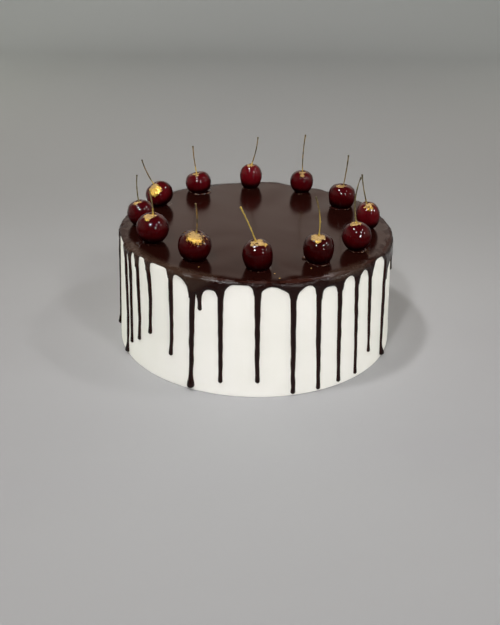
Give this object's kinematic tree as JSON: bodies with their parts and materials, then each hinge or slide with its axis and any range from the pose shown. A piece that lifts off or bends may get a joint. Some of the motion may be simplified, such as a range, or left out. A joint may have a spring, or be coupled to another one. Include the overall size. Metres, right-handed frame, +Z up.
{
  "type": "cherry chocolate cake",
  "caption": "Round celebration cake: pale frosted sides, glossy poured chocolate glaze running down in long drips, and a ring of stemmed cherries with gold leaf on top.",
  "frame": {"origin": "centre of the cake's flat underside", "axes": "+Z up through the middle of the top, -Y towards the front that the picture shows, +X to the right of that front"},
  "size_m": [0.2286, 0.2266, 0.1473],
  "materials": {
    "frosting": "smooth satin frosting",
    "chocolate_glaze": "mirror glossy dark chocolate",
    "cherry_skin": "wine red fruit under clear gel",
    "cherry_stem": "olive to golden brown",
    "gold_leaf": "crumpled gold leaf"
  },
  "bodies": {
    "root": {"cake_body": "frosting", "chocolate_glaze": "chocolate_glaze", "cherry_01": "cherry_skin", "cherry_02": "cherry_skin", "cherry_03": "cherry_skin", "cherry_04": "cherry_skin", "cherry_05": "cherry_skin", "cherry_06": "cherry_skin", "cherry_07": "cherry_skin", "cherry_08": "cherry_skin", "cherry_09": "cherry_skin", "cherry_10": "cherry_skin", "cherry_11": "cherry_skin", "cherry_12": "cherry_skin", "cherry_stem_01": "cherry_stem", "cherry_stem_02": "cherry_stem", "cherry_stem_03": "cherry_stem", "cherry_stem_04": "cherry_stem", "cherry_stem_05": "cherry_stem", "cherry_stem_06": "cherry_stem", "cherry_stem_07": "cherry_stem", "cherry_stem_08": "cherry_stem", "cherry_stem_09": "cherry_stem", "cherry_stem_10": "cherry_stem", "cherry_stem_11": "cherry_stem", "cherry_stem_12": "cherry_stem"}
  },
  "joints": []
}
